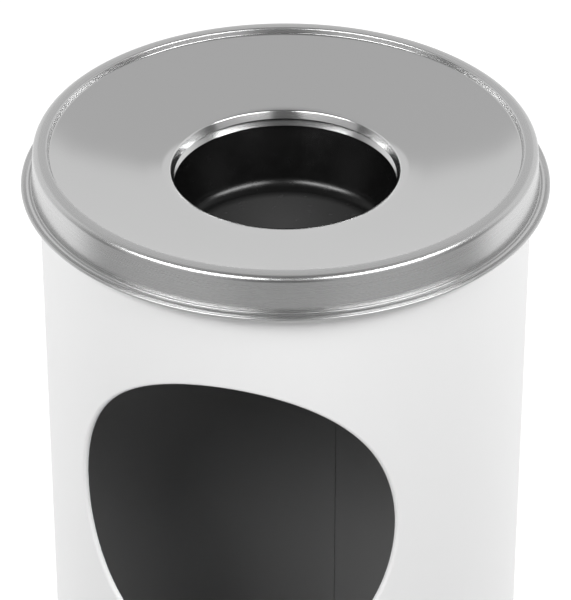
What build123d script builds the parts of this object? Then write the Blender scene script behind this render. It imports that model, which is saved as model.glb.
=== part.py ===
"""Ashtray bin: a round sheet-steel litter bin with a stub bowl under its lid.

The foot's centre is the origin, +Z is up, and the side opening faces -Y.
Sizes are millimetres. What is turned is drawn on Plane.XZ, as radius and
height, and revolved about the bin's axis.
"""

from build123d import *
from math import cos, pi, sin
import os

# ---- Whole bin -----------------------------------------------------------------
HEIGHT = 620.0  # floor to the crest of the lid's raised rim
BODY_R = 125.0  # outside of the rolled body sheet
GAP = 0.3  # between pieces that move apart

# ---- Lid -----------------------------------------------------------------------
LID_SHEET = 0.8
BRIM_Z = HEIGHT - 20.2  # middle height of the rolled brim
BRIM_R = 134.2  # widest radius of the bin
HEM_R = 1.25  # outside of the roll along the brim's edge
HEM_END_R = 131.4
BRIM_RISE = 0.9
COLLAR_FOOT_R = 128.95
COLLAR_TOP_R = 127.6
SHOULDER_R = 3.4
RIM_INNER_R = 120.4  # where the raised rim drops to the dish
DISH_R = 119.4
DISH_Z = BRIM_Z + 17.0
DISH_MID_R = 90.0
DISH_MID_Z = BRIM_Z + 10.6
DISH_BEND = 600.0
NECK_BEND_R = 61.5  # where the dish starts to turn down into the hole's neck
NECK_BEND_Z = BRIM_Z + 6.2
NECK_BEND = 12.0
NECK_R = 58.35
NECK_TOP_Z = BRIM_Z + 4.9
NECK_LIP = 1.3
NECK_FOOT_R = 56.6  # the neck is a short steep cone
NECK_FOOT_Z = BRIM_Z + 1.1

# ---- Stub bowl, hung under the hole --------------------------------------------
BOWL_SHEET = 0.8
BOWL_MOUTH_R = 56.7  # inner edge of the polished collar
BOWL_MOUTH_Z = BRIM_Z - 3.2
COLLAR_CREST_Z = BRIM_Z + 0.45  # the collar is raised in a rib round the mouth
COLLAR_CREST_R = 60.0
COLLAR_CREST = 1.4  # width of the rib's flat top
COLLAR_ROOT_R = 65.2
COLLAR_ROUND = 1.3
BOWL_FLANGE_Z = BRIM_Z - 3.4  # upper face of the collar's flange
BOWL_FLANGE_R = 72.6
BOWL_R = 69.0  # inside of the bowl's wall at the top
BOWL_FOOT_R = 58.0  # and where it would meet the floor
BOWL_COVE = 9.0
BOWL_FLOOR_Z = BRIM_Z - 42.8
BOWL_CRIMP_R = 73.0  # inside of the crimp round the flange
BOWL_CRIMP_END_R = 70.8

# ---- Spring clips that grip the bowl's crimped rim -----------------------------
CLIP_COUNT = 3
CLIP_WIDTH = 14.0
CLIP_SHEET = 0.8
CLIP_TOUCH_R = BOWL_CRIMP_R + BOWL_SHEET + 0.4
CLIP_FOOT_R = 98.0
CLIP_BEND_R = 84.0

# ---- Body and foot -------------------------------------------------------------
SHELL_SHEET = 1.0
SHELL_R = BODY_R - SHELL_SHEET  # inside of the body
SHELL_TOP_Z = HEIGHT - 2.7
OPENING_R = 89.6  # the round opening's radius in the flat sheet
OPENING_Z = BRIM_Z - 138.0
OPENING_POINTS = 24
LIP_DEPTH = 2.4  # how far the opening's edge is folded in
LIP_ROUND = 0.9
LAP_FROM_X = -11.5  # the seam's overlapping strip, inside the back
LAP_TO_X = -2.0
RING_TOP_Z = 14.0  # plastic ring under the body
RING_SOLE = 4.0
RING_OUTER_R = BODY_R + 2.0
RING_INNER_R = SHELL_R - 3.0
PAN_SHEET = 1.0
PAN_Z = 17.0  # upper face of the floor pan
PAN_FLANGE_Z = 37.0
PAN_BEND = 3.0
EDGING_WALL = 1.4  # rubber edging on the body's top edge
EDGING_DEPTH = 11.0
EDGING_TOP_Z = SHELL_TOP_Z + 1.1

# ---- Liner bucket --------------------------------------------------------------
LINER_SHEET = 0.7
LINER_R = 112.5  # inside of the liner's wall
LINER_FOOT_Z = PAN_Z + GAP
LINER_RIM_Z = 220.0
LINER_FLOOR_Z = LINER_FOOT_Z + 7.0
RIM_WIRE_R = 1.6
CURL_OUTSIDE = RIM_WIRE_R + 0.1 + LINER_SHEET  # radius of the rolled rim's section
CURL_R = LINER_R + CURL_OUTSIDE
CURL_Z = LINER_RIM_Z - CURL_OUTSIDE

# ---- Ears, rivets and handle ---------------------------------------------------
EAR_SHEET = 1.2
EAR_WIDTH = 26.0
EAR_FOOT_Z = 190.0
EAR_STEP_Z = 207.0  # the ear steps out round the rim above this height
EAR_TAB_Z = 213.6
EAR_X = LINER_R + LINER_SHEET
EAR_TAB_X = CURL_R + CURL_OUTSIDE + 0.25
RIVET_Z = 199.0
RIVET_Y = 7.0
RIVET_R = 2.0
RIVET_HEAD_R = 3.6
RIVET_HEAD = 1.3
WIRE_R = 2.25
GRIP_R = 6.0
GRIP_TURN = 44.0  # degrees of the bail covered by the grip
PIVOT_Z = LINER_RIM_Z + GRIP_R + GAP
PIVOT_HOLE_R = 2.6
BAIL_R = 106.0  # middle line of the bail's half circle
BAIL_BEND = 6.0
PIN_HEAD_X = EAR_TAB_X + EAR_SHEET + 0.4
PIN_HEAD = 1.5
PIN_HEAD_R = 3.6

os.makedirs("parts", exist_ok=True)


def opening_outline(radius):
    """Points round a circle cut in the flat sheet, seen from the front once rolled."""
    turns = [2 * pi * i / OPENING_POINTS for i in range(OPENING_POINTS)]
    return [
        (BODY_R * sin(radius * sin(turn) / BODY_R), OPENING_Z + radius * cos(turn))
        for turn in turns
    ]


def dish_underside(radius):
    """Height of the dish's lower face near the middle of its slope."""
    slope = (DISH_Z - NECK_BEND_Z) / (DISH_R - NECK_BEND_R)
    return DISH_MID_Z + slope * (radius - DISH_MID_R) - LID_SHEET + 0.2


def hand_over(piece, label):
    """Label a finished piece and write it out."""
    piece.part.label = label
    export_step(piece.part, f"parts/{label}.step")


# ---- Body shell: rolled sheet with a lap seam and a round opening --------------
with BuildPart() as opening_lip:
    with BuildSketch(Plane.XZ):
        with BuildLine():
            Spline(*opening_outline(OPENING_R + SHELL_SHEET), periodic=True)
        make_face()
    extrude(amount=BODY_R)
    with BuildSketch(Plane.XY):
        Circle(BODY_R)
        Circle(BODY_R - LIP_DEPTH, mode=Mode.SUBTRACT)
    extrude(amount=HEIGHT, mode=Mode.INTERSECT)

with BuildPart() as body_shell:
    with BuildSketch(Plane.XY.offset(RING_SOLE)):
        Circle(BODY_R)
        Circle(SHELL_R, mode=Mode.SUBTRACT)
    extrude(amount=SHELL_TOP_Z - RING_SOLE)
    with BuildSketch(Plane.XY.offset(PAN_FLANGE_Z)):
        Circle(SHELL_R)
        Circle(SHELL_R - SHELL_SHEET, mode=Mode.SUBTRACT)
        with Locations(((LAP_FROM_X + LAP_TO_X) / 2, SHELL_R)):
            Rectangle(LAP_TO_X - LAP_FROM_X, BODY_R, mode=Mode.INTERSECT)
    extrude(amount=EDGING_TOP_Z - EDGING_DEPTH - PAN_FLANGE_Z)
    add(opening_lip.part)
    with BuildSketch(Plane.XZ):
        with BuildLine():
            Spline(*opening_outline(OPENING_R), periodic=True)
        make_face()
    extrude(amount=2 * BODY_R, mode=Mode.SUBTRACT)
    mouth = body_shell.edges().filter_by(GeomType.BSPLINE)
    fillet(mouth.sort_by(lambda edge: edge.bounding_box().min.Y)[0], LIP_ROUND)
hand_over(body_shell, "body_shell")

with BuildPart() as floor_ring:
    with BuildSketch(Plane.XZ):
        with BuildLine():
            Polyline(
                (RING_INNER_R, 0),
                (RING_OUTER_R, 0),
                (RING_OUTER_R, RING_TOP_Z),
                (BODY_R, RING_TOP_Z),
                (BODY_R, RING_SOLE),
                (SHELL_R, RING_SOLE),
                (SHELL_R, RING_TOP_Z),
                (RING_INNER_R, RING_TOP_Z),
                close=True,
            )
        make_face()
        fillet(vertices().group_by(Axis.X)[-1], 1.5)
    revolve(axis=Axis.Z)
hand_over(floor_ring, "floor_ring")

with BuildPart() as base_pan:
    with BuildSketch(Plane.XZ):
        with BuildLine():
            FilletPolyline(
                (0, PAN_Z - PAN_SHEET),
                (SHELL_R, PAN_Z - PAN_SHEET),
                (SHELL_R, PAN_FLANGE_Z),
                radius=PAN_BEND,
            )
            offset(amount=PAN_SHEET, side=Side.LEFT)
        make_face()
    revolve(axis=Axis.Z)
hand_over(base_pan, "base_pan")

with BuildPart() as top_edging:
    with BuildSketch(Plane.XZ):
        with Locations(((BODY_R + SHELL_R) / 2, EDGING_TOP_Z)):
            Rectangle(SHELL_SHEET + 2 * EDGING_WALL, EDGING_DEPTH, align=(Align.CENTER, Align.MAX))
        fillet(vertices().group_by(Axis.Y)[-1], SHELL_SHEET / 2 + EDGING_WALL - 0.05)
        with Locations(((BODY_R + SHELL_R) / 2, SHELL_TOP_Z)):
            Rectangle(SHELL_SHEET, EDGING_DEPTH, align=(Align.CENTER, Align.MAX), mode=Mode.SUBTRACT)
    revolve(axis=Axis.Z)
hand_over(top_edging, "top_edging")

# ---- Lid: one spun sheet from the brim's roll to the neck of the hole ----------
with BuildPart() as lid:
    with BuildSketch(Plane.XZ):
        with BuildLine():
            FilletPolyline(
                (HEM_END_R, BRIM_Z - HEM_R),
                (BRIM_R, BRIM_Z - HEM_R),
                (BRIM_R, BRIM_Z + HEM_R),
                (HEM_END_R, BRIM_Z + BRIM_RISE),
                (COLLAR_FOOT_R, BRIM_Z + BRIM_RISE),
                (COLLAR_TOP_R, HEIGHT),
                (RIM_INNER_R, HEIGHT),
                (DISH_R, DISH_Z),
                (DISH_MID_R, DISH_MID_Z),
                (NECK_BEND_R, NECK_BEND_Z),
                (NECK_R, NECK_TOP_Z),
                (NECK_FOOT_R, NECK_FOOT_Z),
                radius=[HEM_R - 0.02, HEM_R - 0.02, 0.5, 1, SHOULDER_R, 1.2, 0.8, DISH_BEND, NECK_BEND, NECK_LIP],
            )
            offset(amount=LID_SHEET, side=Side.LEFT)
        make_face()
    revolve(axis=Axis.Z)
hand_over(lid, "lid")

# ---- Spring clips, spot-welded under the dish ----------------------------------
for number in range(CLIP_COUNT):
    turn = 90 + 360 / CLIP_COUNT * number
    with BuildPart() as bowl_clip:
        with BuildSketch(Plane.XZ.rotated((0, 0, turn))):
            with BuildLine():
                FilletPolyline(
                    (CLIP_FOOT_R, dish_underside(CLIP_FOOT_R)),
                    (CLIP_BEND_R, dish_underside(CLIP_BEND_R)),
                    (CLIP_TOUCH_R, BOWL_FLANGE_Z),
                    (CLIP_TOUCH_R + 3, BOWL_FLANGE_Z - 7),
                    radius=[2.5, 1.5],
                )
                offset(amount=CLIP_SHEET, side=Side.LEFT)
            make_face()
        extrude(amount=CLIP_WIDTH / 2, both=True)
    hand_over(bowl_clip, f"bowl_clip_{number + 1}")

# ---- Stub bowl: a pressed pan crimped round its collar's flange ----------------
with BuildPart() as bowl_collar:
    with BuildSketch(Plane.XZ):
        with BuildLine():
            FilletPolyline(
                (BOWL_FLANGE_R, BOWL_FLANGE_Z),
                (COLLAR_ROOT_R, BOWL_FLANGE_Z),
                (COLLAR_CREST_R + COLLAR_CREST, COLLAR_CREST_Z),
                (COLLAR_CREST_R, COLLAR_CREST_Z),
                (BOWL_MOUTH_R, BOWL_MOUTH_Z),
                radius=COLLAR_ROUND,
            )
            offset(amount=BOWL_SHEET, side=Side.LEFT)
        make_face()
    revolve(axis=Axis.Z)
hand_over(bowl_collar, "bowl_collar")

with BuildPart() as ash_bowl:
    with BuildSketch(Plane.XZ):
        with BuildLine():
            FilletPolyline(
                (BOWL_CRIMP_END_R, BOWL_FLANGE_Z),
                (BOWL_CRIMP_R, BOWL_FLANGE_Z),
                (BOWL_CRIMP_R, BOWL_FLANGE_Z - BOWL_SHEET),
                (BOWL_R, BOWL_FLANGE_Z - BOWL_SHEET),
                (BOWL_FOOT_R, BOWL_FLOOR_Z),
                (0, BOWL_FLOOR_Z),
                radius=[0.35, 0.35, 1.5, BOWL_COVE],
            )
            offset(amount=BOWL_SHEET, side=Side.LEFT)
        make_face()
    revolve(axis=Axis.Z)
hand_over(ash_bowl, "ash_bowl")

# ---- Liner bucket: wall rolled over a wire at the rim, and a seamed base -------
with BuildPart() as liner_wall:
    with BuildSketch(Plane.XZ):
        with Locations((LINER_R, LINER_FOOT_Z)):
            Rectangle(LINER_SHEET, CURL_Z - LINER_FOOT_Z, align=(Align.MIN, Align.MIN))
        with Locations((CURL_R, CURL_Z)):
            Circle(CURL_OUTSIDE)
            Circle(CURL_OUTSIDE - LINER_SHEET, mode=Mode.SUBTRACT)
        # the rolled edge stops just short of the wall
        with Locations((LINER_R + LINER_SHEET, CURL_Z - CURL_OUTSIDE)):
            Rectangle(1, CURL_OUTSIDE, align=(Align.MIN, Align.MIN), mode=Mode.SUBTRACT)
    revolve(axis=Axis.Z)
    with BuildSketch(Plane.YZ):
        with Locations((-RIVET_Y, RIVET_Z), (RIVET_Y, RIVET_Z)):
            Circle(RIVET_R)
    extrude(amount=BODY_R, both=True, mode=Mode.SUBTRACT)
hand_over(liner_wall, "liner_wall")

with BuildPart() as liner_rim_wire:
    with BuildSketch(Plane.XZ):
        with Locations((CURL_R, CURL_Z)):
            Circle(RIM_WIRE_R)
    revolve(axis=Axis.Z)
hand_over(liner_rim_wire, "liner_rim_wire")

with BuildPart() as liner_base:
    with BuildSketch(Plane.XZ):
        with BuildLine():
            FilletPolyline(
                (0, LINER_FLOOR_Z),
                (LINER_R, LINER_FLOOR_Z),
                (LINER_R, LINER_FOOT_Z),
                radius=2,
            )
            offset(amount=-LINER_SHEET, side=Side.RIGHT)
        make_face()
    revolve(axis=Axis.Z)
hand_over(liner_base, "liner_base")

# ---- Ears that carry the handle, one each side, and their rivets ---------------
for side, name in ((-1, "ear_left"), (1, "ear_right")):
    with BuildPart() as ear:
        with BuildSketch(Plane.XZ):
            with BuildLine():
                FilletPolyline(
                    (EAR_X, EAR_FOOT_Z),
                    (EAR_X, EAR_STEP_Z),
                    (EAR_TAB_X, EAR_TAB_Z),
                    (EAR_TAB_X, PIVOT_Z + EAR_WIDTH),
                    radius=2,
                )
                offset(amount=-EAR_SHEET, side=Side.RIGHT)
            make_face()
        extrude(amount=EAR_WIDTH, both=True)
        with BuildSketch(Plane.YZ):
            with Locations((0, PIVOT_Z)):
                Circle(EAR_WIDTH / 2)
                Rectangle(EAR_WIDTH, PIVOT_Z - EAR_FOOT_Z, align=(Align.CENTER, Align.MAX))
                Circle(PIVOT_HOLE_R, mode=Mode.SUBTRACT)
            with Locations((-RIVET_Y, RIVET_Z), (RIVET_Y, RIVET_Z)):
                Circle(RIVET_R, mode=Mode.SUBTRACT)
        extrude(amount=BODY_R, mode=Mode.INTERSECT)
        if side < 0:
            mirror(about=Plane.YZ, mode=Mode.REPLACE)
    hand_over(ear, name)

with BuildPart() as ear_rivets:
    inner_x = LINER_R - 0.5
    outer_x = EAR_X + EAR_SHEET
    for side in (-1, 1):
        with BuildSketch(Plane.YZ.offset(side * inner_x)):
            with Locations((-RIVET_Y, RIVET_Z), (RIVET_Y, RIVET_Z)):
                Circle(RIVET_R)
        extrude(amount=side * (outer_x - inner_x))
        for head_x, outwards in ((inner_x, -1), (outer_x, 1)):
            with BuildSketch(Plane.YZ.offset(side * head_x)):
                with Locations((-RIVET_Y, RIVET_Z), (RIVET_Y, RIVET_Z)):
                    Circle(RIVET_HEAD_R)
            extrude(amount=side * outwards * RIVET_HEAD, taper=35)
hand_over(ear_rivets, "ear_rivets")

# ---- Handle: a wire bail with headed ends and a moulded grip -------------------
with BuildPart() as bail_handle:
    with BuildLine(Plane.XY.offset(PIVOT_Z)) as bail_path:
        pin = Line((PIN_HEAD_X + PIN_HEAD, 0), (BAIL_R + BAIL_BEND, 0))
        TangentArc(pin @ 1, (BAIL_R, BAIL_BEND), tangent=pin % 1)
        hoop = CenterArc((0, BAIL_BEND), BAIL_R, 0, 180)
        TangentArc(hoop @ 1, (-BAIL_R - BAIL_BEND, 0), tangent=hoop % 1)
        Line((-BAIL_R - BAIL_BEND, 0), (-PIN_HEAD_X - PIN_HEAD, 0))
    with BuildSketch(Plane(origin=pin @ 0, z_dir=pin % 0)):
        Circle(WIRE_R)
    sweep()
    for side in (-1, 1):
        with BuildSketch(Plane.YZ.offset(side * PIN_HEAD_X)):
            with Locations((0, PIVOT_Z)):
                Circle(PIN_HEAD_R)
        extrude(amount=side * PIN_HEAD)
hand_over(bail_handle, "bail_handle")

with BuildPart() as handle_grip:
    with BuildLine(Plane.XY.offset(PIVOT_Z)):
        grip_path = CenterArc((0, BAIL_BEND), BAIL_R, 90 - GRIP_TURN / 2, GRIP_TURN)
    with BuildSketch(Plane(origin=grip_path @ 0, z_dir=grip_path % 0)):
        Circle(GRIP_R)
        Circle(WIRE_R, mode=Mode.SUBTRACT)
    sweep()
    ends = handle_grip.faces().filter_by(GeomType.PLANE).edges()
    fillet(ends.filter_by(lambda edge: edge.radius > GRIP_R - 0.1), 1.5)
hand_over(handle_grip, "handle_grip")
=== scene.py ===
"""Ashtray bin: its visible pieces, finishes and studio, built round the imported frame.

Everything is in metres in the frame's own place: the foot's centre is the origin,
+Z is up and the side opening faces -Y.
"""

from math import ceil, cos, pi, radians, sin, tan

import bmesh
import bpy
from bpy.props import FloatProperty, FloatVectorProperty, PointerProperty
from mathutils import Matrix, Vector


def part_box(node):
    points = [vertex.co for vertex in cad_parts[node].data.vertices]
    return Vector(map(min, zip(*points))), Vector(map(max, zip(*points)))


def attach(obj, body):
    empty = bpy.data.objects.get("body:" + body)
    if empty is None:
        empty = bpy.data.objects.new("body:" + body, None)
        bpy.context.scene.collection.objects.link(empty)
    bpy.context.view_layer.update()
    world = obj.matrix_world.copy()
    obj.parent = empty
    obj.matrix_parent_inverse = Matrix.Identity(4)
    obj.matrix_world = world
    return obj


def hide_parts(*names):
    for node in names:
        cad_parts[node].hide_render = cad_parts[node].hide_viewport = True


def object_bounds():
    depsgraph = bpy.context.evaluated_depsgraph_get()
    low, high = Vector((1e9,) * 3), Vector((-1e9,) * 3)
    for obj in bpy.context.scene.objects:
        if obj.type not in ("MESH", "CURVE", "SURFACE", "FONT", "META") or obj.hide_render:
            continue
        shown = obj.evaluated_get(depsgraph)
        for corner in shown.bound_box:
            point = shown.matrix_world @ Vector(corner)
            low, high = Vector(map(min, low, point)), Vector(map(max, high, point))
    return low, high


bl_info = {
    "name": "Ashtray Bin",
    "version": (1, 0, 0),
    "blender": (4, 5, 0),
    "location": "3D View > Sidebar > Ashtray Bin",
    "description": "Builds a sheet-steel ashtray bin round its packed frame",
    "category": "Add Mesh",
}

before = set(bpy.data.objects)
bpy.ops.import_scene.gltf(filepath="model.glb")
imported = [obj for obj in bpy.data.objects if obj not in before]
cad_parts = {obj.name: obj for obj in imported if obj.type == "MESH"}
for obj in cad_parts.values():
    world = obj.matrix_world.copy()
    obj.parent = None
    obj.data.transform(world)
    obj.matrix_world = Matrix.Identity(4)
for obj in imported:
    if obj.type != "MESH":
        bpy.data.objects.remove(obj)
CAD_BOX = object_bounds()
TOP_Z = CAD_BOX[1].z


def mm(value):
    """Millimetres as metres."""
    return value * 0.001


def linear(code):
    """An sRGB hex colour as linear red, green, blue and alpha."""
    channels = [int(code[i : i + 2], 16) / 255 for i in (1, 3, 5)]
    return tuple(c / 12.92 if c <= 0.04045 else ((c + 0.055) / 1.055) ** 2.4 for c in channels) + (1.0,)


def length(name, millimetres, description):
    """A size property, kept in metres."""
    return FloatProperty(
        name=name,
        description=description,
        default=mm(millimetres),
        min=0.0,
        precision=5,
        subtype="DISTANCE",
        unit="LENGTH",
    )


def angle(name, degrees, description):
    """An angle property, kept in radians."""
    return FloatProperty(
        name=name, description=description, default=radians(degrees), subtype="ANGLE", unit="ROTATION"
    )


def power(name, watts, description):
    """A lamp's power, in watts."""
    return FloatProperty(name=name, description=description, default=watts, min=0.0, subtype="POWER")


def level(name, brightness, description):
    """A brightness on which white is 1."""
    return FloatProperty(name=name, description=description, default=brightness, min=0.0)


def colour(name, code, description):
    """A colour property, kept as linear light."""
    return FloatVectorProperty(
        name=name,
        description=description,
        default=linear(code),
        size=4,
        min=0.0,
        max=1.0,
        subtype="COLOR",
    )


# ---- What a user can change ------------------------------------------------------


class BinLidSizes(bpy.types.PropertyGroup):
    """Sizes of the spun lid."""

    sheet: length("Sheet", 0.8, "Thickness of the stainless sheet")
    rise: length("Rise", 20.2, "From the middle of the brim's roll to the rim's crest")
    roll: length("Brim roll", 1.25, "Outside radius of the roll along the brim's edge")
    collar_foot: length("Collar foot", 128.9, "Radius of the collar where it meets the brim")
    collar_top: length("Collar top", 127.6, "Radius of the collar at the rim")
    shoulder: length("Shoulder", 3.4, "Rounding between the collar and the rim's crest")
    rim_inside: length("Rim inside", 120.4, "Radius where the rim drops to the dish")
    dish_edge: length("Dish edge", 119.4, "Radius of the dish's outer edge")
    dish_drop: length("Dish drop", 3.2, "How far the dish's edge lies under the crest")
    dish_middle: length("Dish middle", 9.6, "Depth of the dish under the crest at 90 mm radius")
    neck_bend: length("Neck bend", 61.5, "Radius where the dish starts to turn down")
    neck_bend_drop: length("Neck bend drop", 14.0, "Depth of that bend under the crest")
    neck: length("Neck", 58.35, "Radius of the hole at its lip")
    neck_drop: length("Neck drop", 15.3, "Depth of the hole's lip under the crest")
    neck_lip: length("Neck lip", 1.3, "Rounding of the hole's lip")
    neck_foot: length("Neck foot", 56.6, "Inside radius at the lower edge of the neck")
    neck_foot_drop: length("Neck foot drop", 19.1, "Depth of the neck's lower edge under the crest")
    clip_width: length("Clip width", 14.0, "Width of each spring clip")


class BinBowlSizes(bpy.types.PropertyGroup):
    """Sizes of the stub bowl and its collar."""

    sheet: length("Sheet", 0.8, "Thickness of both pressings")
    mouth: length("Mouth", 56.7, "Inner radius of the polished collar")
    mouth_drop: length("Mouth drop", 3.65, "Depth of the collar's inner edge under its rib")
    rib: length("Rib", 60.0, "Inner radius of the collar's raised rib")
    rib_width: length("Rib width", 1.4, "Width of the rib's flat top")
    root: length("Root", 65.2, "Radius where the rib meets the flange")
    foot: length("Foot", 58.0, "Inside radius at which the wall would meet the floor")
    wall: length("Wall", 69.0, "Inside radius of the bowl's wall")
    cove: length("Cove", 9.0, "Inside rounding between wall and floor")
    crimp: length("Crimp", 3.0, "Width of the crimp over the collar's flange")


class BinBodySizes(bpy.types.PropertyGroup):
    """Sizes of the body, its opening and its foot."""

    sheet: length("Sheet", 1.0, "Thickness of the body sheet")
    opening: length("Opening", 89.6, "Radius of the side opening in the flat sheet")
    opening_drop: length("Opening drop", 158.2, "Depth of the opening's centre under the rim's crest")
    lip: length("Lip", 2.4, "How far the opening's edge is folded in")
    fold: length("Fold", 1.8, "Outside radius of the folded edge")
    seam_near: length("Seam near", 2.0, "Near edge of the seam strip, from the back's middle line")
    seam_far: length("Seam far", 11.5, "Far edge of the seam strip, from the back's middle line")
    edging_wall: length("Edging wall", 1.4, "Thickness of the rubber edging on each side of the sheet")
    sole: length("Sole", 4.0, "Thickness of the foot ring under the body sheet")


class BinLinerSizes(bpy.types.PropertyGroup):
    """Sizes of the liner bucket and its handle."""

    sheet: length("Sheet", 0.7, "Thickness of the galvanised sheet")
    inside: length("Inside", 112.5, "Inside radius of the liner")
    curl: length("Curl", 2.4, "Outside radius of the rolled rim's section")
    ear_sheet: length("Ear sheet", 1.2, "Thickness of the ears")
    ear_width: length("Ear width", 26.0, "Width of the ears")
    ear_step: length("Ear step", 4.35, "How far each ear steps out round the rim")
    pivot: length("Pivot", 226.3, "Height of the handle's pivots over the floor")
    pivot_hole: length("Pivot hole", 2.6, "Radius of the pivot holes")
    rivet_head: length("Rivet head", 3.6, "Radius of the rivet heads")
    rivet_height: length("Rivet height", 199.0, "Height of the rivets over the floor")
    rivet_apart: length("Rivets apart", 14.0, "Distance between the two rivets of an ear")
    wire: length("Wire", 2.25, "Radius of the handle's wire")
    bail: length("Bail", 106.0, "Radius of the handle's half circle")
    bend: length("Bend", 6.0, "Radius of the bends at the handle's ends")
    grip: length("Grip", 6.0, "Radius of the moulded grip")


class BinFinishes(bpy.types.PropertyGroup):
    """Colours of the finishes."""

    steel: colour("Stainless steel", "#C9C9C9", "Lid")
    polish: colour("Polished steel", "#D6D6D6", "Neck and collar ring")
    powder: colour("Powder coat", "#EFEFEF", "Outside of the body")
    primer: colour("Primer", "#B4B4B4", "Inside of the body")
    enamel: colour("Enamel", "#0C0C0C", "Stub bowl")
    # painted light: a lighter grey for the bowl's floor, standing in for light falling on it from above
    worn_enamel: colour("Floor light enamel", "#4A4A4A", "Floor of the stub bowl")
    zinc: colour("Zinc", "#B4B8BC", "Liner, ears and rivets")
    plate: colour("Zinc plate", "#CCD0D6", "Handle and rim wire")
    spring: colour("Spring steel", "#5C626E", "Bowl clips")
    plastic: colour("Black plastic", "#1B1B1C", "Foot ring and grip")
    rubber: colour("Rubber", "#151515", "Edging")


class BinStudio(bpy.types.PropertyGroup):
    """Camera and light."""

    turn: angle("Turn", 14.4, "Camera's angle round the bin from straight in front, towards +X")
    tilt: angle("Tilt", 32.895, "How far the camera looks down")
    away: length("Away", 1534.5, "Camera's distance from the bin's axis, along the floor")
    above: length("Above", 897.3, "Camera's height over the rim's crest")
    lens: FloatProperty(name="Lens", description="Focal length in millimetres", default=211.07, min=1.0)
    keys: power("Keys", 16.0, "Power of each strip of light")
    fills: power("Fills", 5.0, "Power of each tall softbox")
    front: level("Front", 0.08, "Brightness of the dark room before the bin")
    rear: level("Rear", 0.64, "Brightness of the wall high behind the bin")
    sweep: level("Sweep", 0.9, "Brightness of the white sweep low behind the bin")
    floor: colour("Floor", "#C6C6C6", "Pale floor")
    floor_glow: level("Floor glow", 0.75, "Light from the floor behind the bin")


# ---- Shaping ---------------------------------------------------------------------


def section(bm, corners, closed=False):
    """Draw a section on the XZ plane through corners of (across, height, rounding)."""
    places = [Vector((across, 0, height)) for across, height, _ in corners]
    verts = [bm.verts.new(place) for place in places]
    for vert, after in zip(verts, verts[1:] + verts[:1] if closed else verts[1:]):
        bm.edges.new((vert, after))
    for i, (_, _, rounding) in enumerate(corners):
        if not rounding:
            continue
        ahead = places[(i + 1) % len(places)] - places[i]
        turn = (places[i] - places[i - 1]).angle(ahead)
        bmesh.ops.bevel(
            bm,
            geom=[verts[i]],
            offset=rounding * tan(turn / 2),
            offset_type="OFFSET",
            segments=max(3, ceil(turn / radians(9)), ceil(rounding * turn / mm(6))),
            profile=0.5,
            affect="VERTICES",
            material=-1,
        )


def verts_of(geom):
    """The vertices in what an operator gave back."""
    return [item for item in geom if isinstance(item, bmesh.types.BMVert)]


def edges_of(geom):
    """The edges in what an operator gave back."""
    return [item for item in geom if isinstance(item, bmesh.types.BMEdge)]


def shift(bm, step):
    """Move everything by a step."""
    bmesh.ops.translate(bm, verts=bm.verts[:], vec=step)


def swing(bm, degrees, axis):
    """Turn everything about one of the world's axes."""
    bmesh.ops.rotate(bm, verts=bm.verts[:], cent=(0, 0, 0), matrix=Matrix.Rotation(radians(degrees), 3, axis))


def spin_round(bm, steps):
    """Turn what is drawn once round the Z axis, and close its seam and poles."""
    bmesh.ops.spin(
        bm,
        geom=bm.verts[:] + bm.edges[:],
        cent=(0, 0, 0),
        axis=(0, 0, 1),
        dvec=(0, 0, 0),
        angle=2 * pi,
        steps=steps,
        use_merge=True,
        use_duplicate=False,
    )
    heal(bm)


def heal(bm):
    """Merge doubled vertices and point the faces outwards."""
    bmesh.ops.remove_doubles(bm, verts=bm.verts[:], dist=mm(0.002))
    bmesh.ops.recalc_face_normals(bm, faces=bm.faces[:])


def face_out(bm, at, towards):
    """Turn all faces over if the one nearest to a place doesn't look the given way."""
    nearest = min(bm.faces, key=lambda face: (face.calc_center_median() - at).length)
    if nearest.normal.dot(towards) < 0:
        bmesh.ops.reverse_faces(bm, faces=bm.faces[:])


def turned(corners, sheet=0.0, seen="left", steps=256):
    """A turned piece: an open section spun round and thickened, or with no sheet a closed one.

    Seen says on which side of the drawing direction the drawn face looks.
    """
    bm = bmesh.new()
    section(bm, corners, closed=not sheet)
    spin_round(bm, steps)
    if sheet:
        start, end = (Vector((across, 0, height)) for across, height, _ in corners[:2])
        along = (end - start).normalized()
        towards = Vector((-along.z, 0, along.x)) * (1 if seen == "left" else -1)
        face_out(bm, (start + end) / 2, towards)
        bmesh.ops.solidify(bm, geom=bm.faces[:], thickness=sheet)
    return bm


def join(bm, part):
    """Add one bmesh to another, and free it."""
    mesh = bpy.data.meshes.new("part")
    part.to_mesh(mesh)
    part.free()
    bm.from_mesh(mesh)
    bpy.data.meshes.remove(mesh)


def place(bm, name, body, slot, materials, nodes, smooth=35.0):
    """Make the piece's object, shade it, and hand it to its body in place of its CAD nodes."""
    mesh = bpy.data.meshes.new(name)
    for material in materials:
        mesh.materials.append(material)
    bm.to_mesh(mesh)
    bm.free()
    mesh.shade_smooth()
    mesh.set_sharp_from_angle(angle=radians(smooth))
    piece = bpy.data.objects.new(name, mesh)
    bpy.context.scene.collection.objects.link(piece)
    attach(piece, body)
    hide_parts(*nodes)
    return piece


# ---- Finishes --------------------------------------------------------------------


def add(tree, kind, inputs=None, **settings):
    """Add a node with its settings, and set or link its inputs."""
    node = tree.nodes.new(kind)
    for key, value in settings.items():
        setattr(node, key, value)
    for key, value in (inputs or {}).items():
        if isinstance(value, bpy.types.NodeSocket):
            tree.links.new(value, node.inputs[key])
        else:
            node.inputs[key].default_value = value
    return node


def finish(name):
    """A new material, its node tree and its surface shader."""
    material = bpy.data.materials.new(name)
    material.use_nodes = True
    tree = material.node_tree
    return material, tree, tree.nodes["Principled BSDF"]


def once(maker):
    """Make a finish when it is first asked for, and hand out the same one after that."""

    def made(colours):
        return bpy.data.materials.get(maker.__name__) or maker(colours)

    return made


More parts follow.
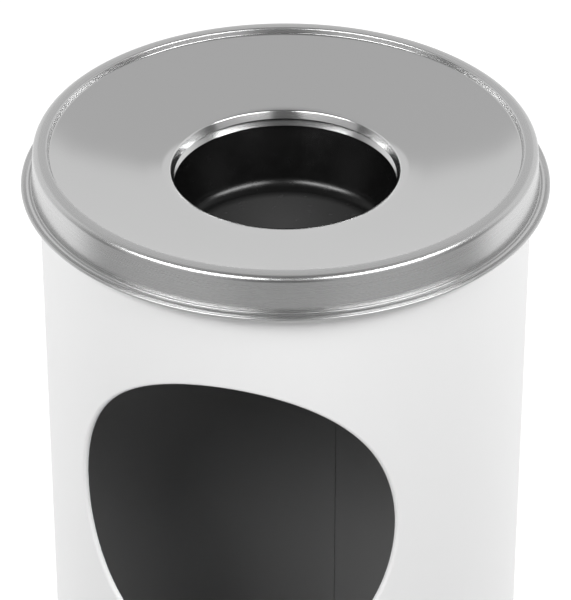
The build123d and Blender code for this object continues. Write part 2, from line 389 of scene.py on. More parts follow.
def object_place(tree):
    """The Object coordinates of a material."""
    return add(tree, "ShaderNodeTexCoord").outputs["Object"]


def radius_place(tree):
    """The distance from the bin's axis."""
    flat = add(tree, "ShaderNodeVectorMath", {0: object_place(tree), 1: (1, 1, 0)}, operation="MULTIPLY")
    return add(tree, "ShaderNodeVectorMath", {0: flat.outputs[0]}, operation="LENGTH").outputs["Value"]


def turning_lines(tree, spacing):
    """Noise drawn out round the Z axis, as a lathe leaves it, with lines a spacing apart."""
    height = add(tree, "ShaderNodeSeparateXYZ", {"Vector": object_place(tree)}).outputs["Z"]
    lathe = add(tree, "ShaderNodeCombineXYZ", {"X": radius_place(tree), "Y": height})
    return add(tree, "ShaderNodeTexNoise", {"Vector": lathe.outputs[0], "Scale": 1 / spacing, "Detail": 2.0})


def noise_field(tree, size, detail):
    """Noise through the whole piece, with lumps of a size."""
    inputs = {"Vector": object_place(tree), "Scale": 1 / size, "Detail": detail}
    return add(tree, "ShaderNodeTexNoise", inputs)


def spread_noise(tree, noise, low, high):
    """Stretch a noise, which keeps to its middle values, over a range."""
    inputs = {"Value": noise.outputs["Fac"], "From Min": 0.3, "From Max": 0.7, "To Min": low, "To Max": high}
    return add(tree, "ShaderNodeMapRange", inputs).outputs[0]


def vary(tree, socket, size, low, high, detail=3.0):
    """Drive a shader socket between two values by soft noise of a real size."""
    noise = noise_field(tree, size, detail)
    tree.links.new(spread_noise(tree, noise, low, high), socket)


def smooth_step(tree, value, low, high, start=0.0, end=1.0):
    """Map a value smoothly from one range to another."""
    inputs = {"Value": value, "From Min": low, "From Max": high, "To Min": start, "To Max": end}
    return add(tree, "ShaderNodeMapRange", inputs, interpolation_type="SMOOTHSTEP").outputs[0]


def blend_values(tree, share, first, second):
    """Mix two values by a share."""
    mix = add(tree, "ShaderNodeMix", {"Factor": share, "A": first, "B": second})
    return mix.outputs["Result"]


def roughen(tree, shader, height, strength, depth):
    """Give a shader a bump from a height between 0 and 1, of a real depth."""
    bump = add(tree, "ShaderNodeBump", {"Height": height, "Strength": strength, "Distance": depth})
    tree.links.new(bump.outputs[0], shader.inputs["Normal"])


@once
def satin_stainless(colours):
    """Spun stainless sheet, satin: soft-edged highlights with fine lines round the axis.

    The lines lie 0.6 mm apart, coarser than real turning marks so that they show.
    """
    material, tree, shader = finish("satin_stainless")
    shader.inputs["Base Color"].default_value = colours.steel
    shader.inputs["Metallic"].default_value = 1.0
    lines = turning_lines(tree, mm(0.6))
    tree.links.new(spread_noise(tree, lines, 0.24, 0.32), shader.inputs["Roughness"])
    roughen(tree, shader, lines.outputs["Fac"], 0.12, mm(0.03))
    return material


@once
def bright_stainless(colours):
    """Bright-rolled stainless sheet: a clear, slightly hazy mirror, with faint waves from the spinning."""
    material, tree, shader = finish("bright_stainless")
    shader.inputs["Base Color"].default_value = colours.steel
    shader.inputs["Metallic"].default_value = 1.0
    vary(tree, shader.inputs["Roughness"], mm(60), 0.09, 0.15)
    waves = noise_field(tree, mm(45), 0.0)
    roughen(tree, shader, waves.outputs["Fac"], 0.5, mm(0.5))
    return material


@once
def polished_stainless(colours):
    """Machine-polished stainless: bright, with highlights that are soft only at their edges."""
    material, tree, shader = finish("polished_stainless")
    shader.inputs["Base Color"].default_value = colours.polish
    shader.inputs["Metallic"].default_value = 1.0
    vary(tree, shader.inputs["Roughness"], mm(25), 0.16, 0.2)
    return material


@once
def powder_coat(colours):
    """White polyester powder coat: even and satin, with a fine orange peel 1.5 mm across."""
    material, tree, shader = finish("powder_coat")
    shader.inputs["Base Color"].default_value = colours.powder
    vary(tree, shader.inputs["Roughness"], mm(80), 0.42, 0.48)
    peel = noise_field(tree, mm(1.5), 1.0)
    roughen(tree, shader, peel.outputs["Fac"], 0.08, mm(0.05))
    return material


@once
def grey_primer(colours):
    """Light grey primer inside the body: smooth and half glossy, and dark only for want of light."""
    material, tree, shader = finish("grey_primer")
    shader.inputs["Base Color"].default_value = colours.primer
    vary(tree, shader.inputs["Roughness"], mm(40), 0.34, 0.46)
    return material


@once
def stove_enamel(colours):
    """Black stove enamel: deep black, with compact highlights in the cove and a duller, greyer floor, whose
    lighter grey is painted light falling on it from above.
    """
    material, tree, shader = finish("stove_enamel")
    # painted light: inside 56 mm radius the enamel turns smoothly to a lighter grey by 49 mm, standing in for
    # light from above on the floor
    painted_floor_light = smooth_step(tree, radius_place(tree), mm(56), mm(49))
    tints = {"Factor": painted_floor_light, "A": colours.enamel, "B": colours.worn_enamel}
    tint = add(tree, "ShaderNodeMix", tints, data_type="RGBA")
    tree.links.new(tint.outputs["Result"], shader.inputs["Base Color"])
    vary(tree, shader.inputs["Roughness"], mm(6), 0.22, 0.28, detail=5.0)
    grain = noise_field(tree, mm(1.2), 2.0)
    roughen(tree, shader, grain.outputs["Fac"], 0.1, mm(0.05))
    return material


@once
def galvanised_steel(colours):
    """Hot-dip galvanised sheet: a grey zinc skin in spangles about 9 mm across, each with its own gloss."""
    material, tree, shader = finish("galvanised_steel")
    shader.inputs["Metallic"].default_value = 1.0
    warp = noise_field(tree, mm(5), 2.0)
    push = {0: warp.outputs["Color"], 1: (mm(4),) * 3}
    pushed = add(tree, "ShaderNodeVectorMath", push, operation="MULTIPLY")
    at = add(tree, "ShaderNodeVectorMath", {0: object_place(tree), 1: pushed.outputs[0]}, operation="ADD")
    spangle = add(tree, "ShaderNodeTexVoronoi", {"Vector": at.outputs[0], "Scale": 1 / mm(9)})
    shade = add(tree, "ShaderNodeSeparateColor", {"Color": spangle.outputs["Color"]})
    gloss = {"Value": shade.outputs["Red"], "To Min": 0.3, "To Max": 0.5}
    tree.links.new(add(tree, "ShaderNodeMapRange", gloss).outputs[0], shader.inputs["Roughness"])
    lightness = {"Value": shade.outputs["Green"], "To Min": 0.8, "To Max": 1.0}
    scale = {0: colours.zinc[:3], "Scale": add(tree, "ShaderNodeMapRange", lightness).outputs[0]}
    tint = add(tree, "ShaderNodeVectorMath", scale, operation="SCALE")
    tree.links.new(tint.outputs[0], shader.inputs["Base Color"])
    return material


@once
def zinc_plate(colours):
    """Bright zinc plate on steel wire: silvery with a cool tint, and finely clouded."""
    material, tree, shader = finish("zinc_plate")
    shader.inputs["Base Color"].default_value = colours.plate
    shader.inputs["Metallic"].default_value = 1.0
    vary(tree, shader.inputs["Roughness"], mm(8), 0.2, 0.34)
    return material


@once
def blued_spring(colours):
    """Blued spring strip: dark blue-grey, rolled smooth along its length."""
    material, tree, shader = finish("blued_spring")
    shader.inputs["Base Color"].default_value = colours.spring
    shader.inputs["Metallic"].default_value = 1.0
    vary(tree, shader.inputs["Roughness"], mm(5), 0.22, 0.34)
    return material


@once
def moulded_plastic(colours):
    """Black polypropylene, moulded in a lightly sparked tool: matt, with a fine grain 0.8 mm across."""
    material, tree, shader = finish("moulded_plastic")
    shader.inputs["Base Color"].default_value = colours.plastic
    vary(tree, shader.inputs["Roughness"], mm(20), 0.46, 0.56)
    grain = noise_field(tree, mm(0.8), 2.0)
    roughen(tree, shader, grain.outputs["Fac"], 0.3, mm(0.08))
    return material


@once
def extruded_rubber(colours):
    """Extruded black rubber: dull, with die lines along the strip and a dusty bloom."""
    material, tree, shader = finish("extruded_rubber")
    shader.inputs["Base Color"].default_value = colours.rubber
    vary(tree, shader.inputs["Roughness"], mm(15), 0.62, 0.78)
    roughen(tree, shader, turning_lines(tree, mm(0.5)).outputs["Fac"], 0.3, mm(0.05))
    return material


# ---- Pieces ----------------------------------------------------------------------


class BIN_OT_lid(bpy.types.Operator):
    """Spin the lid from one sheet: brim, collar, rim, dish and the hole's neck"""

    bl_idname = "bin.lid"
    bl_label = "Lid"

    def execute(self, context):
        lid = context.scene.bin_lid
        colours = context.scene.bin_finishes
        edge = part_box("lid")[1].x
        crest = TOP_Z
        brim = crest - lid.rise
        # the roll is a quarter turn twice over, and stays just short of meeting itself
        roll_round = lid.roll * 0.99
        bm = turned(
            [
                # hem and roll of the brim, then the bead that stiffens it
                (edge - mm(2.6), brim - lid.roll, 0),
                (edge, brim - lid.roll, roll_round),
                (edge, brim + lid.roll, roll_round),
                (edge - mm(2.7), brim + mm(0.3), mm(0.5)),
                (edge - mm(3.8), brim + mm(1.0), mm(0.5)),
                (edge - mm(4.7), brim + mm(0.5), mm(0.4)),
                # collar, rim, dish, and the hole's neck
                (lid.collar_foot, brim + mm(0.6), mm(0.5)),
                (lid.collar_top, crest, lid.shoulder),
                (lid.rim_inside, crest, mm(1.2)),
                (lid.dish_edge, crest - lid.dish_drop, mm(0.8)),
                (mm(90), crest - lid.dish_middle, mm(600)),
                (lid.neck_bend, crest - lid.neck_bend_drop, mm(12)),
                (lid.neck, crest - lid.neck_drop, lid.neck_lip),
                (lid.neck_foot, crest - lid.neck_foot_drop, 0),
            ],
            lid.sheet,
            seen="right",
        )
        materials = [satin_stainless(colours), bright_stainless(colours), polished_stainless(colours)]
        for face in bm.faces:
            reach = face.calc_center_median().xy.length
            if reach < lid.neck + lid.sheet:
                face.material_index = 2
            elif reach < lid.dish_edge:
                face.material_index = 1
        place(bm, "spun_lid", "lid", "stainless_lid", materials, ["lid"])
        return {"FINISHED"}


class BIN_OT_clips(bpy.types.Operator):
    """Bend the three spring clips that hold the stub bowl under the lid"""

    bl_idname = "bin.clips"
    bl_label = "Bowl clips"

    def execute(self, context):
        lid = context.scene.bin_lid
        colours = context.scene.bin_finishes
        width = lid.clip_width
        sheet = mm(0.8)
        foot, bend = mm(98), mm(84)
        dish_slope = 0.186
        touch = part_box("bowl_collar")[1].x + mm(1.6)
        lead_in = mm(3)
        for number in (1, 2, 3):
            low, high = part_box(f"bowl_clip_{number}")
            # the strip hugs the dish's lower face, then drops past the bowl's rim
            corners = [
                (foot, high.z, 0),
                (bend, high.z - (foot - bend) * dish_slope, mm(2.5)),
                (touch, low.z + mm(7), mm(1.5)),
                (touch + lead_in, low.z, 0),
            ]
            bm = bmesh.new()
            section(bm, corners)
            strip = bmesh.ops.extrude_edge_only(bm, edges=bm.edges[:])["geom"]
            shift(bm, (0, -width / 2, 0))
            bmesh.ops.translate(bm, verts=verts_of(strip), vec=(0, width, 0))
            heal(bm)
            face_out(bm, Vector(((foot + bend) / 2, 0, high.z)), Vector((0, 0, 1)))
            bmesh.ops.solidify(bm, geom=bm.faces[:], thickness=sheet)
            heal(bm)
            swing(bm, 120 * number - 30, "Z")
            name = f"bowl_clip_{number}"
            place(bm, f"spring_clip_{number}", "lid", "spring_steel", [blued_spring(colours)], [name])
        return {"FINISHED"}


class BIN_OT_bowl(bpy.types.Operator):
    """Press the stub bowl and crimp it round its polished collar"""

    bl_idname = "bin.bowl"
    bl_label = "Stub bowl"

    def execute(self, context):
        bowl = context.scene.bin_bowl
        colours = context.scene.bin_finishes
        low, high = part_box("ash_bowl")
        collar_low, collar_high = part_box("bowl_collar")
        seat = collar_low.z
        crimp_round = bowl.sheet + mm(0.35)
        # what the sheet adds across to the slanting wall's inside radii
        added = bowl.sheet * 0.8
        bm = turned(
            [
                (high.x - bowl.crimp, high.z, 0),
                (high.x, high.z, crimp_round),
                (high.x, seat - bowl.sheet, crimp_round),
                (bowl.wall + added, seat - bowl.sheet, mm(0.8)),
                (bowl.foot + added, low.z, bowl.cove + bowl.sheet),
                (0, low.z, 0),
            ],
            bowl.sheet,
            steps=192,
        )
        place(bm, "enamelled_bowl", "bowl", "black_enamel", [stove_enamel(colours)], ["ash_bowl"])
        flange = seat + bowl.sheet
        rib_round = mm(1.3)
        bm = turned(
            [
                (collar_high.x, flange, 0),
                (bowl.root, flange, rib_round),
                (bowl.rib + bowl.rib_width, collar_high.z, rib_round),
                (bowl.rib, collar_high.z, rib_round),
                (bowl.mouth, collar_high.z - bowl.mouth_drop, 0),
            ],
            bowl.sheet,
            seen="right",
        )
        place(bm, "polished_collar", "bowl", "polished_steel", [polished_stainless(colours)], ["bowl_collar"])
        return {"FINISHED"}


def roll_up(bm, radius):
    """Roll a flat sheet, drawn as (along, depth, height), into a cylinder about Z."""
    for vert in bm.verts:
        along, depth, height = vert.co
        turn = along / radius
        vert.co = ((radius - depth) * sin(turn), (depth - radius) * cos(turn), height)


def stretch_border(bm, axis, side, reach, steps):
    """Draw the sheet's border on one side outwards to reach, in even steps."""
    step = Vector((0, 0, 0))
    step[axis] = (reach - side) / steps
    for _ in range(steps):
        border = [
            edge
            for edge in bm.edges
            if edge.is_boundary and all(abs(vert.co[axis] - side) < mm(0.01) for vert in edge.verts)
        ]
        drawn = bmesh.ops.extrude_edge_only(bm, edges=border)["geom"]
        bmesh.ops.translate(bm, verts=verts_of(drawn), vec=step)
        side += step[axis]


class BIN_OT_body(bpy.types.Operator):
    """Roll the body sheet, with its folded opening and the seam inside the back"""

    bl_idname = "bin.body"
    bl_label = "Body shell"

    def execute(self, context):
        body = context.scene.bin_body
        colours = context.scene.bin_finishes
        low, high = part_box("body_shell")
        radius = high.x
        centre = TOP_Z - body.opening_drop
        half = radius  # the opening sits in a square of the flat sheet this big each way
        rings = 11
        flat_from = body.opening + body.fold
        # the opening with its folded edge, turned about its own axis
        bm = bmesh.new()
        corners = [(body.opening, -body.lip, 0), (body.opening, 0, body.fold)]
        corners += [(flat_from + (half - flat_from) * i / rings, 0, 0) for i in range(1, rings + 1)]
        section(bm, corners)
        spin_round(bm, 160)
        for vert in bm.verts:
            reach = vert.co.xy.length
            share = (reach - flat_from) / (half - flat_from)
            if share > 0:
                square = half / max(abs(vert.co.x), abs(vert.co.y)) * reach
                vert.co.xy *= (flat_from * (1 - share) + square * share) / reach
        swing(bm, 90, "X")
        shift(bm, (0, 0, centre))
        stretch_border(bm, 2, centre + half, high.z, 4)
        stretch_border(bm, 2, centre - half, low.z, 12)
        stretch_border(bm, 0, half, pi * radius, 48)
        stretch_border(bm, 0, -half, -pi * radius, 48)
        roll_up(bm, radius)
        heal(bm)
        bmesh.ops.solidify(bm, geom=bm.faces[:], thickness=body.sheet)
        # the overlapping strip of the seam, whose outer face is sunk into the wall
        strip = bmesh.new()
        bmesh.ops.create_grid(strip, x_segments=4, y_segments=1, size=0.5)
        width = body.seam_far - body.seam_near
        clear = mm(1)
        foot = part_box("base_pan")[1].z + clear
        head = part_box("top_edging")[0].z - clear
        across = Matrix.Diagonal((width, head - foot, 1, 1))
        upright = Matrix.Rotation(radians(90), 4, "X")
        sunk, depth = mm(0.7), mm(1.3)
        middle = Matrix.Translation(((body.seam_near + body.seam_far) / 2, sunk, (head + foot) / 2))
        bmesh.ops.transform(strip, verts=strip.verts[:], matrix=middle @ upright @ across)
        roll_up(strip, radius)
        swing(strip, 180, "Z")
        heal(strip)
        for face in strip.faces:
            if face.normal.y < 0:
                face.normal_flip()
        bmesh.ops.solidify(strip, geom=strip.faces[:], thickness=depth)
        join(bm, strip)
        inner = radius - body.sheet - mm(0.05)
        for face in bm.faces:
            spot = face.calc_center_median()
            outwards = Vector((spot.x, spot.y, 0)).normalized()
            if face.normal.dot(outwards) < -0.5 or (spot.y > 0 and spot.xy.length < inner):
                face.material_index = 1
        materials = [powder_coat(colours), grey_primer(colours)]
        place(bm, "rolled_body", "body", "white_body", materials, ["body_shell"])
        return {"FINISHED"}


class BIN_OT_foot(bpy.types.Operator):
    """Mould the foot ring, press the floor pan and fit the rubber edging"""

    bl_idname = "bin.foot"
    bl_label = "Foot, floor and edging"

    def execute(self, context):
        body = context.scene.bin_body
        colours = context.scene.bin_finishes
        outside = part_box("body_shell")[1].x
        inside = outside - body.sheet
        low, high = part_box("floor_ring")
        core = inside - mm(3)
        soft, mouth = mm(0.4), mm(0.2)
        bm = turned(
            [
                (core, low.z, soft),
                (high.x, low.z, mm(1.5)),
                (high.x, high.z, mm(1.5)),
                (outside, high.z, mouth),
                (outside, low.z + body.sole, 0),
                (inside, low.z + body.sole, 0),
                (inside, high.z, mouth),
                (core, high.z, soft),
            ]
        )
        place(bm, "moulded_foot", "body", "black_plastic", [moulded_plastic(colours)], ["floor_ring"])

        low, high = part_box("base_pan")
        bm = turned(
            [
                (0, low.z + body.sheet, 0),
                (high.x - body.sheet, low.z + body.sheet, mm(2)),
                (high.x - body.sheet, high.z, 0),
            ],
            body.sheet,
        )
        place(bm, "pressed_floor", "body", "white_body", [powder_coat(colours)], ["base_pan"])

        low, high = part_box("top_edging")
        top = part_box("body_shell")[1].z
        core = inside - body.edging_wall
        bead = (body.sheet / 2 + body.edging_wall) * 0.98
        bm = turned(
            [
                (high.x, low.z, soft),
                (high.x, high.z, bead),
                (core, high.z, bead),
                (core, low.z, soft),
                (inside, low.z, mouth),
                (inside, top, 0),
                (outside, top, 0),
                (outside, low.z, mouth),
            ]
        )
        place(bm, "rubber_edging", "body", "black_rubber", [extruded_rubber(colours)], ["top_edging"])
        return {"FINISHED"}


class BIN_OT_liner(bpy.types.Operator):
    """Roll the liner's wall over its rim wire and seam its base in"""

    bl_idname = "bin.liner"
    bl_label = "Liner bucket"

    def execute(self, context):
        liner = context.scene.bin_liner
        colours = context.scene.bin_finishes
        low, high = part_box("liner_wall")
        inside, outside = liner.inside, liner.inside + 2 * liner.curl
        under = high.z - 2 * liner.curl
        curl_round = liner.curl * 0.99
        bm = turned(
            [
                (inside, low.z, 0),
                (inside, high.z, curl_round),
                (outside, high.z, curl_round),
                (outside, under, curl_round),
                # the rolled edge stops just short of the wall
                (inside + liner.sheet + mm(0.8), under + mm(0.1), 0),
            ],
            liner.sheet,
        )
        place(bm, "rolled_liner", "liner", "galvanised", [galvanised_steel(colours)], ["liner_wall"])

        low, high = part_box("liner_base")
        bm = turned([(0, high.z, 0), (high.x, high.z, mm(2)), (high.x, low.z, 0)], liner.sheet, steps=192)
        place(bm, "seamed_base", "liner", "galvanised", [galvanised_steel(colours)], ["liner_base"])

        low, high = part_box("liner_rim_wire")
        near, far = high.x - (high.z - low.z), high.x
        wire_round = (high.z - low.z) / 2 * 0.99
        corners = ((near, low.z), (far, low.z), (far, high.z), (near, high.z))
        bm = turned([(across, height, wire_round) for across, height in corners], steps=160)
        place(bm, "rim_wire", "liner", "zinc_wire", [zinc_plate(colours)], ["liner_rim_wire"])
        return {"FINISHED"}


def ear(liner, side, wall, foot, top):
    """One ear: a flat plate with its pivot hole, stepped out round the rim, then thickened."""
    half = liner.ear_width / 2
    bm = bmesh.new()
    for radius in (liner.pivot_hole, liner.pivot_hole + mm(1.5), half):
        ring = bmesh.ops.create_circle(bm, segments=64, radius=radius)["verts"]
    # the lower half of the outermost ring goes out to a rectangle
    for vert in ring:
        across, down = abs(vert.co.x), -vert.co.y
        if down > 0:
            vert.co *= min(half / max(across, mm(0.01)), (liner.pivot - foot) / down)
    bmesh.ops.bridge_loops(bm, edges=bm.edges[:])
    swing(bm, 90, "X")
    swing(bm, 90, "Z")
    shift(bm, (0, 0, liner.pivot))
    # the step lies beside the rolled rim
    rise_from, rise_to = top - liner.ear_width - mm(6.3), top - liner.ear_width + mm(1)
    steps = 10
    for i in range(steps + 1):
        height = rise_from + (rise_to - rise_from) * i / steps
        geom = bm.verts[:] + bm.edges[:] + bm.faces[:]
        bmesh.ops.bisect_plane(bm, geom=geom, dist=mm(0.001), plane_co=(0, 0, height), plane_no=(0, 0, 1))
    for vert in bm.verts:
        share = min(max((vert.co.z - rise_from) / (rise_to - rise_from), 0), 1)
        vert.co.x = wall + liner.ear_step * share * share * (3 - 2 * share)
    heal(bm)
    drawn = bmesh.ops.extrude_face_region(bm, geom=bm.faces[:], use_keep_orig=True)["geom"]
    bmesh.ops.translate(bm, verts=verts_of(drawn), vec=(liner.ear_sheet, 0, 0))
    heal(bm)
    if side < 0:
        swing(bm, 180, "Z")
    return bm


def rivet(head, start, inner, outer, end):
    """One rivet along X from start to end, with a low head past each face of the sheets it holds."""
    shank, crown = mm(2), head * 0.55
    bm = turned(
        [
            (0, start, 0),
            (crown, start, mm(1)),
            (head, inner, 0),
            (shank, inner, 0),
            (shank, outer, 0),
            (head, outer, 0),
            (crown, end, mm(1)),
            (0, end, 0),
        ],
        steps=32,
    )
    # the section's closing line along the axis is left over
    bmesh.ops.delete(bm, geom=[edge for edge in bm.edges if edge.is_wire], context="EDGES")
    swing(bm, 90, "Y")
    return bm


class BIN_OT_ears(bpy.types.Operator):
    """Press the two ears and rivet them to the liner"""

    bl_idname = "bin.ears"
    bl_label = "Ears and rivets"

    def execute(self, context):
        liner = context.scene.bin_liner
        colours = context.scene.bin_finishes
        wall = liner.inside + liner.sheet
        for side, name in ((-1, "ear_left"), (1, "ear_right")):
            low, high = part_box(name)
            bm = ear(liner, side, wall, low.z, high.z)
            place(bm, f"pressed_{name}", "liner", "galvanised", [galvanised_steel(colours)], [name])
        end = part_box("ear_rivets")[1].x
        inner = liner.inside - mm(0.5)
        bm = bmesh.new()
        for degrees in (0, 180):
            for along in (-0.5, 0.5):
                one = rivet(liner.rivet_head, inner - mm(1.3), inner, wall + liner.ear_sheet, end)
                shift(one, (0, along * liner.rivet_apart, liner.rivet_height))
                swing(one, degrees, "Z")
                join(bm, one)
        place(bm, "domed_rivets", "liner", "zinc_wire", [zinc_plate(colours)], ["ear_rivets"])
        return {"FINISHED"}


class BIN_OT_handle(bpy.types.Operator):
    """Bend the wire bail, head its ends and mould its grip"""

    bl_idname = "bin.handle"
    bl_label = "Handle"

    def execute(self, context):
        liner = context.scene.bin_liner
        colours = context.scene.bin_finishes
        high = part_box("bail_handle")[1]
        bail, bend = liner.bail, liner.bend
        head, head_radius = mm(1.5), mm(3.6)
        # half the bail, from the middle of its bow to the headed end, then its mirror image
        bm = bmesh.new()
        ring = bmesh.ops.create_circle(bm, segments=24, radius=liner.wire)["verts"]
        bmesh.ops.rotate(bm, verts=ring, cent=(0, 0, 0), matrix=Matrix.Rotation(radians(90), 3, "Y"))
        bmesh.ops.translate(bm, verts=ring, vec=(0, bend + bail, 0))
        last = ring + bm.edges[:]
        for centre, turn, steps in (((0, bend, 0), -90, 60), ((bail + bend, bend, 0), 90, 16)):
            last = bmesh.ops.spin(
                bm,
                geom=last,
                cent=centre,
                axis=(0, 0, 1),
                dvec=(0, 0, 0),
                angle=radians(turn),
                steps=steps,
                use_merge=False,
                use_duplicate=False,
            )["geom_last"]
        pin = high.x - head - bail - bend
        # the straight pin, then the head: out to its radius, along it, and its chamfer
        for step, size in ((pin, 1), (0, head_radius / liner.wire), (head * 0.6, 1), (head * 0.4, 0.8)):
            last = bmesh.ops.extrude_edge_only(bm, edges=edges_of(last))["geom"]
            bmesh.ops.translate(bm, verts=verts_of(last), vec=(step, 0, 0))
            bmesh.ops.scale(bm, verts=verts_of(last), vec=(1, size, size))
        bmesh.ops.contextual_create(bm, geom=edges_of(last))
        bmesh.ops.mirror(bm, geom=bm.verts[:] + bm.edges[:] + bm.faces[:], axis="X", merge_dist=mm(0.01))
        heal(bm)
        shift(bm, (0, 0, liner.pivot))
        place(bm, "bail_wire", "handle", "zinc_wire", [zinc_plate(colours)], ["bail_handle"])

        # the grip is turned straight, then bent round the bail's arc
        half = bail * radians(22)
        grooves, apart = 13, mm(5)
        valley, soft = liner.grip - mm(0.7), mm(0.5)
        corners = [(liner.wire, -half, 0), (liner.grip, -half, mm(1.5))]
        for i in range(grooves):
            middle = (i - (grooves - 1) / 2) * apart
            corners += [
                (liner.grip, middle - mm(1.2), soft),
                (valley, middle - mm(0.5), soft),
                (valley, middle + mm(0.5), soft),
                (liner.grip, middle + mm(1.2), soft),
            ]
        corners += [(liner.grip, half, mm(1.5)), (liner.wire, half, 0)]
        bm = turned(corners, steps=40)
        long_edges = [edge for edge in bm.edges if edge.calc_length() > mm(3)]
        bmesh.ops.subdivide_edges(bm, edges=long_edges, cuts=3, use_grid_fill=True)
        for vert in bm.verts:
            turn = vert.co.z / bail
            reach = bail + vert.co.x
            vert.co = (reach * sin(turn), bend + reach * cos(turn), liner.pivot + vert.co.y)
        heal(bm)
        place(bm, "ribbed_grip", "handle", "black_plastic", [moulded_plastic(colours)], ["handle_grip"])
        return {"FINISHED"}


# ---- Studio ----------------------------------------------------------------------


def softbox(name, centre, target, width, height, watts):
    """A rectangular soft light that faces a target, and that the camera itself doesn't see."""
    light = bpy.data.lights.new(name, "AREA")
    light.shape = "RECTANGLE"
    light.size = width
    light.size_y = height
    light.energy = watts
    lamp = bpy.data.objects.new(name, light)
    lamp.location = centre
    lamp.rotation_euler = (Vector(target) - Vector(centre)).to_track_quat("-Z", "Y").to_euler()
    lamp.visible_camera = False
    bpy.context.scene.collection.objects.link(lamp)


def distance_along(tree, spot, direction):
    """How far a spot lies along a direction."""
    product = add(tree, "ShaderNodeVectorMath", {0: spot, 1: direction}, operation="DOT_PRODUCT")
    return product.outputs["Value"]


def studio_room(studio, rear, lateral):
    """The room as light: dark round the camera, pale high behind the bin and white low behind it.

    The white reaches higher at the sides, as a curved paper sweep does.
    """
    world = bpy.data.worlds.new("studio_room")
    world.use_nodes = True
    tree = world.node_tree
    towards = add(tree, "ShaderNodeTexCoord").outputs["Generated"]
    back = distance_along(tree, towards, rear)
    aside = distance_along(tree, towards, lateral)
    side = add(tree, "ShaderNodeMath", {0: aside}, operation="ABSOLUTE").outputs[0]
    up = add(tree, "ShaderNodeSeparateXYZ", {"Vector": towards}).outputs["Z"]
    curve = add(tree, "ShaderNodeMath", {0: side, 1: -0.45, 2: up}, operation="MULTIPLY_ADD").outputs[0]
    low = smooth_step(tree, curve, 0.46, 0.38)
    wall = blend_values(tree, low, studio.rear, studio.sweep)
    behind = smooth_step(tree, back, -0.25, 0.45)
    room = blend_values(tree, behind, studio.front, wall)
    # the camera itself sees an even backdrop
    seen = add(tree, "ShaderNodeLightPath").outputs["Is Camera Ray"]
    strength = blend_values(tree, seen, room, 0.85)
    backdrop = tree.nodes["Background"]
    backdrop.inputs["Color"].default_value = (1, 1, 1, 1)
    tree.links.new(strength, backdrop.inputs["Strength"])
    return world


def studio_floor(studio, rear):
    """A pale floor that glows white behind the bin, as a lit acrylic table does."""
    bm = bmesh.new()
    bmesh.ops.create_grid(bm, x_segments=1, y_segments=1, size=6.0)
    mesh = bpy.data.meshes.new("floor")
    bm.to_mesh(mesh)
    bm.free()
    material, tree, shader = finish("lit_acrylic")
    shader.inputs["Base Color"].default_value = studio.floor
    shader.inputs["Roughness"].default_value = 0.9
    shader.inputs["Emission Color"].default_value = (1, 1, 1, 1)
    back = distance_along(tree, object_place(tree), rear)
    glow = smooth_step(tree, back, -0.2, 0.35, 0.0, studio.floor_glow)
    tree.links.new(glow, shader.inputs["Emission Strength"])
    mesh.materials.append(material)
    floor = bpy.data.objects.new("floor", mesh)
    bpy.context.scene.collection.objects.link(floor)


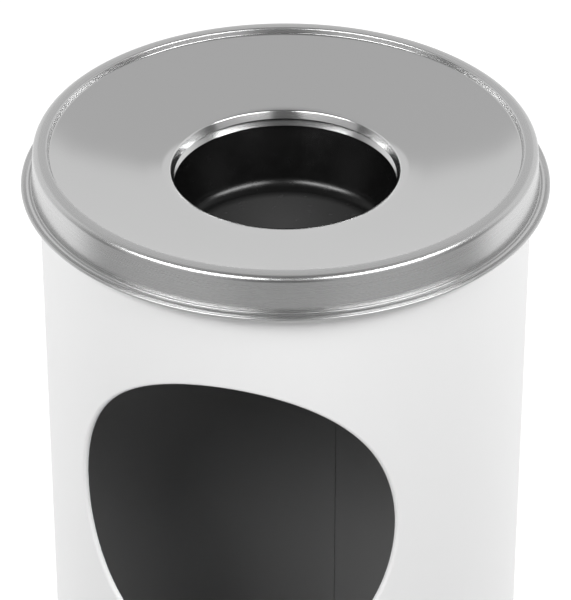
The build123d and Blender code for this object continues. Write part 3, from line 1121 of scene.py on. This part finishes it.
class BIN_OT_stage(bpy.types.Operator):
    """Set the camera, the pale floor and the soft studio light"""

    bl_idname = "bin.stage"
    bl_label = "Studio"

    def execute(self, context):
        studio = context.scene.bin_studio
        scene = context.scene
        rear = Vector((-sin(studio.turn), cos(studio.turn), 0))
        lateral = Vector((cos(studio.turn), sin(studio.turn), 0))
        camera = bpy.data.objects.new("camera", bpy.data.cameras.new("camera"))
        camera.data.sensor_width = 36.0
        camera.data.lens = studio.lens
        camera.data.clip_end = 50.0
        camera.location = -studio.away * rear + Vector((0, 0, TOP_Z + studio.above))
        camera.rotation_euler = (pi / 2 - studio.tilt, 0, studio.turn)
        scene.collection.objects.link(camera)
        scene.camera = camera
        scene.view_settings.view_transform = "Standard"

        aim_drop = mm(100)
        target = Vector((0, 0, TOP_Z - aim_drop))

        def at(turn, height, away):
            """A place by its angle from the camera's side, its elevation and its distance."""
            turn, height = radians(turn), radians(height)
            across = lateral * sin(turn) - rear * cos(turn)
            return target + away * (across * cos(height) + Vector((0, 0, sin(height))))

        # two long strips for the highlights, and two tall boxes for the rest
        strip, box = (1.37, 0.36), (1.8, 2.2)
        for name, turn in (("key_left", -42), ("key_right", 50)):
            softbox(name, at(turn, 41, 1.7), target, *strip, studio.keys)
        for name, turn in (("fill_left", -47), ("fill_right", 44)):
            softbox(name, at(turn, 20, 1.75), target, *box, studio.fills)
        scene.world = studio_room(studio, rear, lateral)
        studio_floor(studio, rear)
        return {"FINISHED"}


PIECES = (
    BIN_OT_body,
    BIN_OT_foot,
    BIN_OT_lid,
    BIN_OT_clips,
    BIN_OT_bowl,
    BIN_OT_liner,
    BIN_OT_ears,
    BIN_OT_handle,
    BIN_OT_stage,
)
GROUPS = {
    "bin_lid": BinLidSizes,
    "bin_bowl": BinBowlSizes,
    "bin_body": BinBodySizes,
    "bin_liner": BinLinerSizes,
    "bin_finishes": BinFinishes,
    "bin_studio": BinStudio,
}


class BIN_PT_panel(bpy.types.Panel):
    """The bin's pieces and sizes"""

    bl_label = "Ashtray Bin"
    bl_space_type = "VIEW_3D"
    bl_region_type = "UI"
    bl_category = "Ashtray Bin"

    def draw(self, context):
        for piece in PIECES:
            self.layout.operator(piece.bl_idname)
        for name, group in GROUPS.items():
            box = self.layout.box()
            for key in group.__annotations__:
                box.prop(getattr(context.scene, name), key)


def register():
    """Register the properties, operators and panel."""
    for name, group in GROUPS.items():
        bpy.utils.register_class(group)
        setattr(bpy.types.Scene, name, PointerProperty(type=group))
    for cls in (*PIECES, BIN_PT_panel):
        bpy.utils.register_class(cls)


def unregister():
    """Take back what register() did."""
    for cls in (BIN_PT_panel, *reversed(PIECES)):
        bpy.utils.unregister_class(cls)
    for name, group in reversed(GROUPS.items()):
        delattr(bpy.types.Scene, name)
        bpy.utils.unregister_class(group)


def main():
    """Build the whole bin and its studio."""
    register()
    for piece in PIECES:
        area, name = piece.bl_idname.split(".")
        getattr(getattr(bpy.ops, area), name)()


if __name__ == "__main__":
    main()
